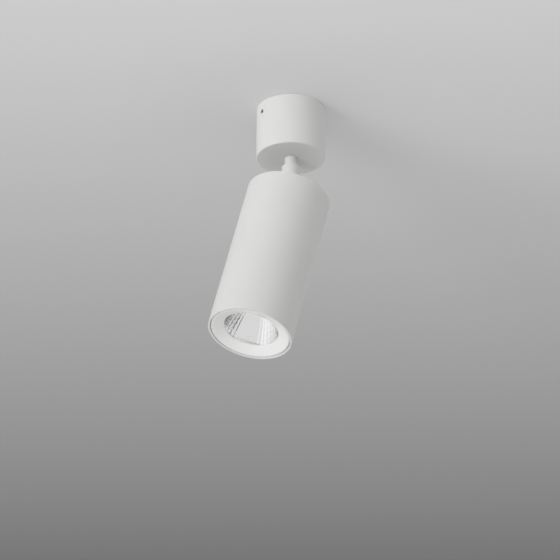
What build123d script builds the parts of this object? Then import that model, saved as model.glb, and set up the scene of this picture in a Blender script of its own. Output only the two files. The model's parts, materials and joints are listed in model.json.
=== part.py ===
from build123d import *
import math
import os

os.makedirs("parts", exist_ok=True)

# ---------------------------------------------------------------------------
# Driving dimensions, in millimetres and degrees.
# The origin is the centre of the canopy on the ceiling, and +Z points up.
# The head leans towards -X and tilts about an axis along +Y.
# ---------------------------------------------------------------------------

# Canopy: a deep round cup against the ceiling
canopy_diameter = 70.0
canopy_height = 56.0
canopy_wall = 2.0
canopy_floor = 3.0
canopy_edge = 0.9
grub_drop = 11.5                # ceiling to the grub screws
grub_hole_diameter = 4.6

# Ceiling bracket: a steel strap with bent ears and a bent tab
bracket_thickness = 2.0
bracket_clearance = 0.3         # ears to the canopy's bore
bend_radius = 1.0
strap_width = 24.0
strap_margin = 3.5              # metal past the end of a slot
slot_spacing = 40.0
slot_length = 10.0
slot_width = 4.6
cable_entry_diameter = 10.0
ear_width = 14.0
ear_length = 17.0
tab_width = 20.0
tab_length = 20.0

# Terminal block on the bracket's tab
block_length = 28.0
block_height = 16.0
block_depth = 8.0
tower_width = 5.4
tower_height = 11.0
tower_depth = 5.0
block_corner = 1.0
tower_corner = 0.8
pole_pitch = 9.5
pole_count = 3
insert_diameter = 4.5
insert_bore = 3.2
insert_margin = 0.5             # how far the inserts stay inside the block
clamp_screw_diameter = 2.6
clamp_screw_head = 3.2
clamp_screw_spacing = 5.2
clamp_screw_recess = 0.8
block_screw_diameter = 2.0
block_screw_head = 3.7
block_screw_head_height = 1.4
block_screw_socket = 1.3

# Swivel: a hollow nipple that turns in a bush in the canopy's floor
nipple_diameter = 10.0
nipple_bore = 6.5
nipple_depth = 12.0             # into the barrel
nipple_proud = 1.5              # past the nut
bush_wall = 1.0
bush_flange_diameter = 22.0
bush_flange_thickness = 1.2
bush_recess = 0.2               # bush inside the canopy's underside
neck_diameter = 12.5
stop_washer_diameter = 18.0
stop_washer_thickness = 1.5
stop_finger_overlap = 2.0       # finger's end past the stop pin's axis
stop_finger_width = 2.2
stop_pin_inset = 8.0            # canopy's bore to the stop pin's axis
stop_pin_diameter = 2.0
stop_pin_height = 3.6           # above the canopy's floor
stop_pin_depth = 2.0            # into the canopy's floor
spring_washer_height = 1.3
spring_washer_thickness = 0.8
stem_nut_flats = 14.0
stem_nut_thickness = 4.5
end_bush_wall = 0.6
end_bush_length = 5.0
end_bush_flange = 1.0

# Tilt joint: a slotted barrel with a tongue between its cheeks
barrel_diameter = 18.5
barrel_edge = 0.4
barrel_grub_drop = 6.0          # barrel's top to its grub screw
pivot_drop = 35.5               # canopy's underside to the pivot
neck_length = 10.0
tongue_thickness = 10.0
tongue_width = 12.0
tongue_bore = 5.0
friction_washer_diameter = 11.0
friction_washer_thickness = 0.5
shoulder_diameter = 5.0
cheek_seat = 1.5                # cheek left under a pivot screw's head
pivot_head_diameter = 7.5
pivot_head_height = 1.3
pivot_socket = 3.0
head_clearance = 0.75           # barrel's round end to the head's top
head_tilt = 15.5                # lean of the head at rest
tilt_limit = 60.0               # largest lean, where the tongue meets the slot

# Head: a round tube with its cap
head_diameter = 85.0
head_length = 172.0
tube_wall = 2.0
tube_step = 0.6                 # extra wall above the heat sink's base
rim_break = 0.3
cap_thickness = 3.0
cap_ledge = 1.0                 # ledge in the tube that carries the cap
foot_depth = 0.8                # tongue's foot into the cap
tongue_nut_flats = 14.0
tongue_nut_thickness = 4.5
lock_washer_diameter = 18.0
lock_washer_thickness = 1.0
lock_washer_teeth = 12
lock_tooth_depth = 0.8
lock_tooth_gap = 1.2
tail_proud = 1.5                # tongue's tail past its nut

# Heat sink, with the driver above it
sink_depth = 52.0               # rim to the heat sink's face
sink_base = 8.0
fin_height = 35.0
fin_count = 24
fin_thickness = 1.6
fin_clearance = 0.5
core_diameter = 26.0
core_bore = 12.0
core_wall_below = 4.0           # metal left under the core's bore
rod_inset = 6.9                 # tube's upper bore to a tie rod's axis
rod_count = 3
rod_start_angle = 90.0
rod_diameter = 6.0
rod_stud_length = 7.0
rod_tap_depth = 12.0
tap_spare = 2.0                 # thread left past a screw's end
boss_diameter = 8.0
plate_thickness = 1.5
plate_margin = 1.4              # plate's edge to the tube
wire_notch_width = 12.0
wire_notch_depth = 7.0
driver_gap = 1.58               # driver to the tie rods
driver_width = 30.0
driver_headroom = 4.5           # driver to the bush on the tongue's tail
driver_corner = 2.5
driver_lid_step = 1.0
driver_lid_height = 10.0
driver_ear_length = 6.5
driver_ear_width = 14.0
driver_ear_thickness = 2.0
driver_window_width = 16.0
driver_window_height = 6.0
driver_window_depth = 4.0

# Light source, its holder and the reflector
board_size = 19.0
board_thickness = 1.0
pad_thickness = 0.2
phosphor_diameter = 14.5
phosphor_thickness = 0.6
holder_diameter = 44.0
holder_thickness = 4.0
holder_screw_circle = 34.0
holder_flat_width = 38.0        # across the two flats of the holder
reflector_mouth = 55.0
reflector_base = 17.0
reflector_wall = 1.2
reflector_flange = 60.0
reflector_flange_thickness = 1.0
collar_height = 3.0
facet_count = 48
facet_rows = 10
row_crowding = 0.6              # how much the rows shorten towards the base

# Trim ring in the tube's mouth
trim_setback = 0.8              # ring's edge inside the rim
trim_gap = 0.45                 # ring to the tube
trim_edge = 0.6                 # width of the ring's outer edge
trim_depth = 5.0                # depth of the white cone
trim_lip = 1.0
trim_skin = 1.5
trim_skirt_length = 12.0
trim_skirt_wall = 1.8
grip_thickness = 1.4            # rubber ring that holds the trim ring in the tube
grip_bevel = 0.35
grip_drop = 9.2                 # ring's edge to the grip ring

# Fasteners and fits shared by several pieces
m3 = 3.0
m3_head = 5.5
m3_head_height = 2.0
m3_socket = 2.0
m4 = 4.0
m4_head = 7.6
m4_head_height = 2.4
m4_socket = 2.0
socket_depth = 2.2              # in a grub screw
grub_length = 8.0
grub_recess = 1.3               # grub screw's end inside the canopy
barrel_grub_length = 3.4
barrel_grub_socket = 1.5
thread_clearance = 0.05         # radial, between a screw and its thread
running_clearance = 0.05        # radial or axial, between turning pieces
fit_clearance = 0.1             # radial, between pieces that are fixed
slide_clearance = 0.15          # radial, between a sleeve and the tube
slot_clearance = 0.2            # tongue to the slot's ends
head_recess_clearance = 0.3     # radial, round a sunk screw head
socket_share = 0.5              # socket's depth as a share of a screw head's height
tip_share = 0.125               # bevel on a tip as a share of its diameter
level_band = 0.01               # half-height of the band in which an edge is looked for

# ---------------------------------------------------------------------------
# Levels and axes
# ---------------------------------------------------------------------------

canopy_radius = canopy_diameter / 2
canopy_bore_radius = canopy_radius - canopy_wall
canopy_underside = -canopy_height
floor_level = canopy_underside + canopy_floor
stop_pin_radius = canopy_bore_radius - stop_pin_inset
stop_finger_reach = stop_pin_radius + stop_finger_overlap
barrel_radius = barrel_diameter / 2
barrel_top = canopy_underside - neck_length
pivot_level = canopy_underside - pivot_drop
pivot = Vector(0, 0, pivot_level)

lean = math.radians(head_tilt)
head_up = Vector(math.sin(lean), 0, math.cos(lean))
head_across = Vector(math.cos(lean), 0, -math.sin(lean))
head_plane = Plane(origin=pivot, x_dir=head_across, z_dir=head_up)
head_side = Plane(origin=pivot, x_dir=head_across, z_dir=(0, -1, 0))
head_axis = Axis(pivot, head_up)
stem_side = Plane(origin=pivot, x_dir=(1, 0, 0), z_dir=(0, -1, 0))

head_radius = head_diameter / 2
head_top = -(barrel_radius + head_clearance)
mouth = head_top - head_length
sink_face = mouth + sink_depth
sink_back = sink_face + sink_base
fin_top = sink_back + fin_height
plate_top = fin_top + plate_thickness
cap_underside = head_top - cap_thickness

lower_bore_radius = head_radius - tube_wall
upper_bore_radius = lower_bore_radius - tube_step
cap_bore_radius = upper_bore_radius + cap_ledge


def head_level(height):
    """Cross-section of the head at a height along its axis, from the pivot."""
    return head_plane.offset(height)


def screw(seat, diameter, length, head_diameter, head_height, socket):
    """A socket screw with its head on the seat plane and its shank below it."""
    with BuildPart() as piece:
        with BuildSketch(seat):
            Circle(head_diameter / 2)
        extrude(amount=head_height)
        with BuildSketch(seat):
            Circle(diameter / 2)
        extrude(amount=-length)
        with BuildSketch(seat.offset(head_height)):
            RegularPolygon(socket / 2, 6, major_radius=False)
        extrude(amount=-head_height * socket_share, mode=Mode.SUBTRACT)
    return piece.part


def grub_screw(end, diameter, length, socket):
    """A headless screw that runs back from its outer end plane."""
    with BuildPart() as piece:
        with BuildSketch(end):
            Circle(diameter / 2)
        extrude(amount=-length)
        with BuildSketch(end):
            RegularPolygon(socket / 2, 6, major_radius=False)
        extrude(amount=-socket_depth, mode=Mode.SUBTRACT)
        tip = piece.faces().filter_by(GeomType.PLANE).sort_by_distance(end.offset(-length).origin)[0]
        chamfer(tip.edges(), diameter * tip_share)
    return piece.part


def hex_nut(seat, flats, thickness, bore):
    """A hexagon nut that stands on its seat plane."""
    with BuildPart() as piece:
        with BuildSketch(seat):
            RegularPolygon(flats / 2, 6, major_radius=False)
            Circle(bore / 2, mode=Mode.SUBTRACT)
        extrude(amount=thickness)
    return piece.part


def flanged_bush(seat, inner, outer, length, flange_diameter, flange_thickness):
    """A bush with its flange on the seat plane and its sleeve below it."""
    with BuildPart() as piece:
        with BuildSketch(seat):
            Circle(flange_diameter / 2)
        extrude(amount=flange_thickness)
        with BuildSketch(seat):
            Circle(outer / 2)
        extrude(amount=-length)
        with BuildSketch(seat.offset(flange_thickness)):
            Circle(inner / 2)
        extrude(amount=-(length + flange_thickness), mode=Mode.SUBTRACT)
    return piece.part


# ---------------------------------------------------------------------------
# Canopy: turned cup with a hole for the stem in its floor
# ---------------------------------------------------------------------------

bush_outer = nipple_diameter + 2 * running_clearance + 2 * bush_wall

with BuildPart() as canopy:
    with BuildSketch(Plane.XY.offset(canopy_underside)):
        Circle(canopy_radius)
    extrude(amount=canopy_height)
    chamfer(canopy.edges().group_by(Axis.Z)[0], canopy_edge)
    with BuildSketch(Plane.XY.offset(floor_level)):
        Circle(canopy_bore_radius)
    extrude(amount=canopy_height - canopy_floor, mode=Mode.SUBTRACT)
    with BuildSketch(Plane.XY.offset(floor_level)):
        Circle(bush_outer / 2 + fit_clearance)
    extrude(amount=-canopy_floor, mode=Mode.SUBTRACT)
    with BuildSketch(Plane.YZ):
        with Locations((0, -grub_drop)):
            Circle(grub_hole_diameter / 2)
    extrude(amount=canopy_radius, both=True, mode=Mode.SUBTRACT)
    with BuildSketch(Plane.XY.offset(floor_level)):
        with Locations((stop_pin_radius, 0)):
            Circle(stop_pin_diameter / 2 + thread_clearance)
    extrude(amount=-stop_pin_depth, mode=Mode.SUBTRACT)
canopy.part.label = "canopy"
export_step(canopy.part, "parts/canopy.step")

# ---------------------------------------------------------------------------
# Ceiling bracket: strap with two slots, two tapped ears and a tab
# ---------------------------------------------------------------------------

ear_face = math.sqrt((canopy_bore_radius - bracket_clearance) ** 2 - (ear_width / 2) ** 2)
strap_length = slot_spacing + slot_length + 2 * strap_margin
outer_bend = bend_radius + bracket_thickness
earth_place = (cable_entry_diameter / 2 + (slot_spacing - slot_length) / 2) / 2

with BuildPart() as ceiling_bracket:
    with BuildSketch(Plane.XZ):
        Rectangle(2 * ear_face, ear_length, align=(Align.CENTER, Align.MAX))
        with Locations((0, -bracket_thickness)):
            Rectangle(2 * (ear_face - bracket_thickness), ear_length,
                      align=(Align.CENTER, Align.MAX), mode=Mode.SUBTRACT)
    extrude(amount=ear_width / 2, both=True)
    bends = ceiling_bracket.edges().filter_by(Axis.Y)
    fillet(bends.group_by(Axis.Z)[-1], outer_bend)
    fillet(ceiling_bracket.edges().filter_by(Axis.Y).filter_by_position(
        Axis.Z, -bracket_thickness - level_band, -bracket_thickness + level_band), bend_radius)
    with BuildSketch(Plane.XY):
        RectangleRounded(strap_length, strap_width, strap_margin)
    extrude(amount=-bracket_thickness)
    with BuildSketch(Plane.YZ):
        with Locations((strap_width / 2, 0)):
            Rectangle(bracket_thickness, tab_length, align=(Align.MAX, Align.MAX))
    extrude(amount=tab_width / 2, both=True)
    tab_inside = strap_width / 2 - bracket_thickness
    tab_bend = ceiling_bracket.edges().filter_by(Axis.X).filter_by_position(
        Axis.Y, tab_inside - level_band, tab_inside + level_band)
    fillet(tab_bend.group_by(Axis.Z)[-1], bend_radius)
    with BuildSketch(Plane.XY):
        Circle(cable_entry_diameter / 2)
        with Locations((slot_spacing / 2, 0), (-slot_spacing / 2, 0)):
            SlotOverall(slot_length, slot_width)
        with Locations((earth_place, 0)):
            Circle(m4 / 2 + thread_clearance)
    extrude(amount=-bracket_thickness, mode=Mode.SUBTRACT)
    with BuildSketch(Plane.YZ):
        with Locations((0, -grub_drop)):
            Circle(m4 / 2 + thread_clearance)
    extrude(amount=ear_face, both=True, mode=Mode.SUBTRACT)
    with BuildSketch(Plane.XZ.offset(-strap_width / 2)):
        with Locations((pole_pitch / 2, -tab_length + block_height / 2),
                       (-pole_pitch / 2, -tab_length + block_height / 2)):
            Circle(block_screw_diameter / 2 + thread_clearance)
    extrude(amount=bracket_thickness, mode=Mode.SUBTRACT)
ceiling_bracket.part.label = "ceiling_bracket"
export_step(ceiling_bracket.part, "parts/ceiling_bracket.step")

with BuildPart() as canopy_grub_screws:
    for side in (1, -1):
        end = Plane(origin=(side * (canopy_radius - grub_recess), 0, -grub_drop), z_dir=(side, 0, 0))
        add(grub_screw(end, m4, grub_length, m4_socket))
canopy_grub_screws.part.label = "canopy_grub_screws"
export_step(canopy_grub_screws.part, "parts/canopy_grub_screws.step")

# ---------------------------------------------------------------------------
# Earth terminal: a screw with a washer under the strap
# ---------------------------------------------------------------------------

earth_washer_thickness = 1.0
earth_screw_length = earth_washer_thickness + bracket_thickness

with BuildPart() as earth_washer:
    with BuildSketch(Plane.XY.offset(-bracket_thickness)):
        with Locations((earth_place, 0)):
            Circle(m4_head / 2)
            Circle(m4 / 2 + fit_clearance, mode=Mode.SUBTRACT)
    extrude(amount=-earth_washer_thickness)
earth_washer.part.label = "earth_washer"
export_step(earth_washer.part, "parts/earth_washer.step")

earth_seat = Plane(origin=(earth_place, 0, -bracket_thickness - earth_washer_thickness), z_dir=(0, 0, -1))
earth_screw = screw(earth_seat, m4, earth_screw_length, m4_head, m4_head_height, m4_socket)
earth_screw.label = "earth_screw"
export_step(earth_screw, "parts/earth_screw.step")

# ---------------------------------------------------------------------------
# Terminal block: moulded body with brass inserts, screwed to the tab
# ---------------------------------------------------------------------------

block_level = -tab_length + block_height / 2
tab_face = strap_width / 2
block_plane = Plane(origin=(0, tab_face, block_level), x_dir=(1, 0, 0), z_dir=(0, 1, 0))
insert_depth = block_depth / 2
poles = [(index - (pole_count - 1) / 2) * pole_pitch for index in range(pole_count)]
insert_length = block_height - 2 * insert_margin

with BuildPart() as terminal_block:
    with BuildSketch(block_plane):
        RectangleRounded(block_length, block_height, block_corner)
    extrude(amount=block_depth)
    with BuildSketch(block_plane.offset(block_depth)):
        with Locations(*[(place, 0) for place in poles]):
            RectangleRounded(tower_width, tower_height, tower_corner)
    extrude(amount=tower_depth)
    with BuildSketch(Plane.XY.offset(block_level - block_height / 2)):
        with Locations(*[(place, tab_face + insert_depth) for place in poles]):
            Circle(insert_diameter / 2 + fit_clearance)
    extrude(amount=block_height, mode=Mode.SUBTRACT)
    with BuildSketch(block_plane.offset(block_depth + tower_depth)):
        with Locations(*[(place, side * clamp_screw_spacing / 2) for place in poles for side in (1, -1)]):
            Circle(clamp_screw_head / 2 + fit_clearance)
    extrude(amount=-(tower_depth + block_depth - insert_depth), mode=Mode.SUBTRACT)
    with BuildSketch(block_plane):
        with Locations((pole_pitch / 2, 0), (-pole_pitch / 2, 0)):
            Circle(block_screw_diameter / 2 + fit_clearance)
    extrude(amount=block_depth, mode=Mode.SUBTRACT)
terminal_block.part.label = "terminal_block"
export_step(terminal_block.part, "parts/terminal_block.step")

with BuildPart() as terminal_inserts:
    with BuildSketch(Plane.XY.offset(block_level - insert_length / 2)):
        with Locations(*[(place, tab_face + insert_depth) for place in poles]):
            Circle(insert_diameter / 2)
            Circle(insert_bore / 2, mode=Mode.SUBTRACT)
    extrude(amount=insert_length)
    with BuildSketch(block_plane.offset(insert_depth)):
        with Locations(*[(place, side * clamp_screw_spacing / 2) for place in poles for side in (1, -1)]):
            Circle(clamp_screw_diameter / 2 + thread_clearance)
    extrude(amount=insert_diameter, mode=Mode.SUBTRACT)
terminal_inserts.part.label = "terminal_inserts"
export_step(terminal_inserts.part, "parts/terminal_inserts.step")

clamp_head_height = block_depth + tower_depth - clamp_screw_recess - insert_depth - insert_diameter / 2
with BuildPart() as terminal_screws:
    for place in poles:
        for side in (1, -1):
            spot = block_plane.offset(insert_depth + insert_diameter / 2)
            spot = Plane(origin=spot.from_local_coords((place, side * clamp_screw_spacing / 2, 0)),
                         x_dir=spot.x_dir, z_dir=spot.z_dir)
            add(screw(spot, clamp_screw_diameter, (insert_diameter - insert_bore) / 2,
                      clamp_screw_head, clamp_head_height, clamp_screw_diameter / 2))
terminal_screws.part.label = "terminal_screws"
export_step(terminal_screws.part, "parts/terminal_screws.step")

with BuildPart() as block_screws:
    for side in (1, -1):
        spot = block_plane.offset(block_depth)
        spot = Plane(origin=spot.from_local_coords((side * pole_pitch / 2, 0, 0)),
                     x_dir=spot.x_dir, z_dir=spot.z_dir)
        add(screw(spot, block_screw_diameter, block_depth + bracket_thickness,
                  block_screw_head, block_screw_head_height, block_screw_socket))
block_screws.part.label = "block_screws"
export_step(block_screws.part, "parts/block_screws.step")

# ---------------------------------------------------------------------------
# Swivel: bush and stop pin in the canopy, nipple with its washers and nut
# ---------------------------------------------------------------------------

nipple_radius = nipple_diameter / 2
swivel_hole_radius = nipple_radius + running_clearance
flange_top = floor_level + bush_flange_thickness
stop_washer_seat = flange_top + running_clearance
spring_seat = stop_washer_seat + stop_washer_thickness
nut_seat = spring_seat + spring_washer_height
nipple_top = nut_seat + stem_nut_thickness + nipple_proud

swivel_bush = flanged_bush(Plane.XY.offset(floor_level), 2 * swivel_hole_radius, bush_outer,
                           canopy_floor - bush_recess, bush_flange_diameter, bush_flange_thickness)
swivel_bush.label = "swivel_bush"
export_step(swivel_bush, "parts/swivel_bush.step")

with BuildPart() as stop_pin:
    with BuildSketch(Plane.XY.offset(floor_level - stop_pin_depth)):
        with Locations((stop_pin_radius, 0)):
            Circle(stop_pin_diameter / 2)
    extrude(amount=stop_pin_depth + stop_pin_height)
    chamfer(stop_pin.edges().group_by(Axis.Z)[-1], stop_pin_diameter * tip_share)
stop_pin.part.label = "stop_pin"
export_step(stop_pin.part, "parts/stop_pin.step")

with BuildPart() as hollow_nipple:
    with BuildSketch(Plane.XY.offset(barrel_top - nipple_depth)):
        Circle(nipple_radius)
        Circle(nipple_bore / 2, mode=Mode.SUBTRACT)
    extrude(amount=nipple_top - barrel_top + nipple_depth)
hollow_nipple.part.label = "hollow_nipple"
export_step(hollow_nipple.part, "parts/hollow_nipple.step")

with BuildPart() as neck_sleeve:
    with BuildSketch(Plane.XY.offset(barrel_top)):
        Circle(neck_diameter / 2)
        Circle(nipple_radius + fit_clearance, mode=Mode.SUBTRACT)
    extrude(amount=neck_length - running_clearance)
neck_sleeve.part.label = "neck_sleeve"
export_step(neck_sleeve.part, "parts/neck_sleeve.step")

with BuildPart() as stop_washer:
    with BuildSketch(Plane.XY.offset(stop_washer_seat)):
        Circle(stop_washer_diameter / 2)
        Rectangle(stop_finger_reach, stop_finger_width, align=(Align.MAX, Align.CENTER))
        Circle(nipple_radius + fit_clearance, mode=Mode.SUBTRACT)
    extrude(amount=stop_washer_thickness)
stop_washer.part.label = "stop_washer"
export_step(stop_washer.part, "parts/stop_washer.step")

with BuildPart() as spring_washer:
    with BuildSketch(Plane.XZ):
        with BuildLine():
            inner = nipple_radius + fit_clearance
            outer = stop_washer_diameter / 2
            rise = spring_washer_height - spring_washer_thickness
            Polyline((inner, spring_seat + rise), (outer, spring_seat),
                     (outer, spring_seat + spring_washer_thickness),
                     (inner, spring_seat + spring_washer_height), close=True)
        make_face()
    revolve(axis=Axis.Z)
spring_washer.part.label = "spring_washer"
export_step(spring_washer.part, "parts/spring_washer.step")

stem_nut = hex_nut(Plane.XY.offset(nut_seat), stem_nut_flats, stem_nut_thickness,
                   nipple_diameter + 2 * thread_clearance)
stem_nut.label = "stem_nut"
export_step(stem_nut, "parts/stem_nut.step")

nipple_bush = flanged_bush(Plane.XY.offset(nipple_top), nipple_bore - 2 * end_bush_wall,
                           nipple_bore - 2 * fit_clearance, end_bush_length,
                           nipple_diameter, end_bush_flange)
nipple_bush.label = "nipple_bush"
export_step(nipple_bush, "parts/nipple_bush.step")

# ---------------------------------------------------------------------------
# Knuckle barrel: round bar with a slot that lets the tongue swing one way
# ---------------------------------------------------------------------------

tongue_end_radius = tongue_width / 2
slot_radius = tongue_end_radius + slot_clearance
washer_inside = tongue_thickness / 2 + running_clearance
slot_half_width = washer_inside + friction_washer_thickness + running_clearance
cheek_floor = slot_half_width + cheek_seat
far = 2 * barrel_diameter

with BuildPart() as knuckle_barrel:
    with BuildSketch(stem_side):
        Rectangle(barrel_diameter, barrel_top - pivot_level, align=(Align.CENTER, Align.MIN))
        Circle(barrel_radius)
    extrude(amount=barrel_radius, both=True)
    with BuildSketch(Plane.XY.offset(pivot_level - barrel_radius)):
        Circle(barrel_radius)
    extrude(amount=barrel_top - pivot_level + barrel_radius, mode=Mode.INTERSECT)
    chamfer(knuckle_barrel.edges().group_by(Axis.Z)[-1], barrel_edge)
    # The slot's roof is round about the pivot and slopes down along the tongue at its largest lean
    with BuildSketch(stem_side):
        with BuildLine():
            roof = CenterArc((0, 0), slot_radius, 0, 180 - tilt_limit)
            slope = Line(roof @ 1, (roof @ 1) + (roof % 1) * far)
            Polyline(slope @ 1, (-far, -far), (slot_radius, -far), roof @ 0)
        make_face()
    extrude(amount=slot_half_width, both=True, mode=Mode.SUBTRACT)
    with BuildSketch(Plane.XY.offset(barrel_top)):
        Circle(nipple_radius + thread_clearance)
    extrude(amount=-nipple_depth, mode=Mode.SUBTRACT)
    with BuildSketch(Plane.XY.offset(barrel_top)):
        Circle(nipple_bore / 2)
    extrude(amount=pivot_level - barrel_top, mode=Mode.SUBTRACT)
    with BuildSketch(stem_side):
        Circle(shoulder_diameter / 2 + running_clearance)
    extrude(amount=barrel_radius, both=True, mode=Mode.SUBTRACT)
    for side in (1, -1):
        with BuildSketch(Plane(origin=(0, side * cheek_floor, pivot_level), z_dir=(0, side, 0))):
            Circle(pivot_head_diameter / 2 + head_recess_clearance)
        extrude(amount=barrel_radius, mode=Mode.SUBTRACT)
    with BuildSketch(Plane.YZ):
        with Locations((0, barrel_top - barrel_grub_drop)):
            Circle(m3 / 2 + thread_clearance)
    extrude(amount=barrel_radius, mode=Mode.SUBTRACT)
knuckle_barrel.part.label = "knuckle_barrel"
export_step(knuckle_barrel.part, "parts/knuckle_barrel.step")

barrel_grub_end = Plane(origin=(nipple_radius + barrel_grub_length + fit_clearance, 0,
                                barrel_top - barrel_grub_drop), z_dir=(1, 0, 0))
barrel_grub_screw = grub_screw(barrel_grub_end, m3, barrel_grub_length, barrel_grub_socket)
barrel_grub_screw.label = "barrel_grub_screw"
export_step(barrel_grub_screw, "parts/barrel_grub_screw.step")

# ---------------------------------------------------------------------------
# Tilt tongue: round-ended tongue on a threaded tail, hollow for the wires
# ---------------------------------------------------------------------------

foot_level = head_top - foot_depth
lock_washer_seat = cap_underside
tongue_nut_seat = lock_washer_seat - lock_washer_thickness
tail_end = tongue_nut_seat - tongue_nut_thickness - tail_proud
wire_half = tongue_bore / 2
tongue_half = tongue_thickness / 2
sway = math.radians(tilt_limit)

with BuildPart() as tilt_tongue:
    with BuildSketch(head_side):
        Circle(tongue_end_radius)
        Rectangle(tongue_width, -foot_level, align=(Align.CENTER, Align.MAX))
    extrude(amount=tongue_half, both=True)
    with BuildSketch(head_level(foot_level)):
        Circle(nipple_radius)
    extrude(amount=tail_end - foot_level)
    with BuildSketch(head_level(tail_end)):
        Circle(wire_half)
    extrude(amount=-tail_end, mode=Mode.SUBTRACT)
    # Room for the wires from the straight position to the largest lean
    with BuildSketch(head_side):
        with BuildLine():
            corner = Vector(-wire_half * math.cos(sway), -wire_half * math.sin(sway))
            reach = corner + Vector(-math.sin(sway), math.cos(sway)) * tongue_width
            Polyline((wire_half, -wire_half), (wire_half, tongue_width), (-tongue_width, tongue_width),
                     reach, corner, close=True)
        make_face()
    extrude(amount=wire_half, both=True, mode=Mode.SUBTRACT)
    with BuildSketch(head_side):
        Circle(m4 / 2 + thread_clearance)
    extrude(amount=tongue_half, both=True, mode=Mode.SUBTRACT)
tilt_tongue.part.label = "tilt_tongue"
export_step(tilt_tongue.part, "parts/tilt_tongue.step")

with BuildPart() as friction_washers:
    for side in (1, -1):
        with BuildSketch(Plane(origin=(0, side * washer_inside, pivot_level), z_dir=(0, side, 0))):
            Circle(friction_washer_diameter / 2)
            Circle(shoulder_diameter / 2 + fit_clearance, mode=Mode.SUBTRACT)
        extrude(amount=friction_washer_thickness)
friction_washers.part.label = "friction_washers"
export_step(friction_washers.part, "parts/friction_washers.step")

pivot_head_seat = cheek_floor + running_clearance
with BuildPart() as pivot_screws:
    for side in (1, -1):
        with BuildSketch(Plane(origin=(0, side * tongue_half, pivot_level), z_dir=(0, side, 0))):
            Circle(shoulder_diameter / 2)
        extrude(amount=pivot_head_seat - tongue_half)
        seat = Plane(origin=(0, side * pivot_head_seat, pivot_level), z_dir=(0, side, 0))
        add(screw(seat, m4, pivot_head_seat - wire_half, pivot_head_diameter, pivot_head_height,
                  pivot_socket))
pivot_screws.part.label = "pivot_screws"
export_step(pivot_screws.part, "parts/pivot_screws.step")

with BuildPart() as tongue_lock_washer:
    with BuildSketch(head_level(lock_washer_seat)):
        Circle(lock_washer_diameter / 2)
        with PolarLocations(lock_washer_diameter / 2, lock_washer_teeth):
            Rectangle(2 * lock_tooth_depth, lock_tooth_gap, mode=Mode.SUBTRACT)
        Circle(nipple_radius + fit_clearance, mode=Mode.SUBTRACT)
    extrude(amount=-lock_washer_thickness)
tongue_lock_washer.part.label = "tongue_lock_washer"
export_step(tongue_lock_washer.part, "parts/tongue_lock_washer.step")

tongue_nut = hex_nut(head_level(tongue_nut_seat - tongue_nut_thickness), tongue_nut_flats,
                     tongue_nut_thickness, nipple_diameter + 2 * thread_clearance)
tongue_nut.label = "tongue_nut"
export_step(tongue_nut, "parts/tongue_nut.step")

# ---------------------------------------------------------------------------
# Head tube: bored from both ends, with a ledge for the cap and a shoulder for the heat sink
# ---------------------------------------------------------------------------

with BuildPart() as head_tube:
    with BuildSketch(head_level(mouth)):
        Circle(head_radius)
    extrude(amount=head_length)
    with BuildSketch(head_level(mouth)):
        Circle(upper_bore_radius)
    extrude(amount=head_length, mode=Mode.SUBTRACT)
    with BuildSketch(head_level(mouth)):
        Circle(lower_bore_radius)
    extrude(amount=sink_depth + sink_base, mode=Mode.SUBTRACT)
    with BuildSketch(head_level(head_top)):
        Circle(cap_bore_radius)
    extrude(amount=-cap_thickness, mode=Mode.SUBTRACT)
    end_faces = head_tube.faces().filter_by(GeomType.PLANE).sort_by(head_axis)
    chamfer(end_faces[0].edges() + end_faces[-1].edges(), rim_break)
head_tube.part.label = "head_tube"
export_step(head_tube.part, "parts/head_tube.step")

# ---------------------------------------------------------------------------
# Head cap: disc in the tube's upper end, held by three screws in the tie rods
# ---------------------------------------------------------------------------

rod_radius = upper_bore_radius - rod_inset

with BuildPart() as head_cap:
    with BuildSketch(head_level(cap_underside)):
        Circle(cap_bore_radius - fit_clearance)
    extrude(amount=cap_thickness)
    with BuildSketch(head_level(head_top)):
        Rectangle(tongue_width + 2 * fit_clearance, tongue_thickness + 2 * fit_clearance)
    extrude(amount=-foot_depth, mode=Mode.SUBTRACT)
    with BuildSketch(head_level(head_top)):
        Circle(nipple_radius + fit_clearance)
        with PolarLocations(rod_radius, rod_count, start_angle=rod_start_angle):
            Circle(m3 / 2 + fit_clearance)
    extrude(amount=-cap_thickness, mode=Mode.SUBTRACT)
    with BuildSketch(head_level(head_top)):
        with PolarLocations(rod_radius, rod_count, start_angle=rod_start_angle):
            Circle(m3_head / 2 + head_recess_clearance)
    extrude(amount=-m3_head_height, mode=Mode.SUBTRACT)
head_cap.part.label = "head_cap"
export_step(head_cap.part, "parts/head_cap.step")


def rod_planes(height):
    """One plane on each tie rod's axis, at a height in the head."""
    level = head_level(height)
    places = []
    for index in range(rod_count):
        turn = math.radians(rod_start_angle + 360 * index / rod_count)
        centre = level.from_local_coords((rod_radius * math.cos(turn), rod_radius * math.sin(turn), 0))
        places.append(Plane(origin=centre, x_dir=head_across, z_dir=head_up))
    return places


with BuildPart() as cap_screws:
    for seat in rod_planes(head_top - m3_head_height):
        add(screw(seat, m3, cap_thickness - m3_head_height + rod_tap_depth - tap_spare,
                  m3_head, m3_head_height, m3_socket))
cap_screws.part.label = "cap_screws"
export_step(cap_screws.part, "parts/cap_screws.step")

with BuildPart() as tie_rods:
    for foot in rod_planes(plate_top):
        with BuildSketch(foot):
            Circle(rod_diameter / 2)
        extrude(amount=cap_underside - plate_top)
        with BuildSketch(foot):
            Circle(m3 / 2)
        extrude(amount=-rod_stud_length)
        with BuildSketch(foot.offset(cap_underside - plate_top)):
            Circle(m3 / 2 + thread_clearance)
        extrude(amount=-rod_tap_depth, mode=Mode.SUBTRACT)
tie_rods.part.label = "tie_rods"
export_step(tie_rods.part, "parts/tie_rods.step")

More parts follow.
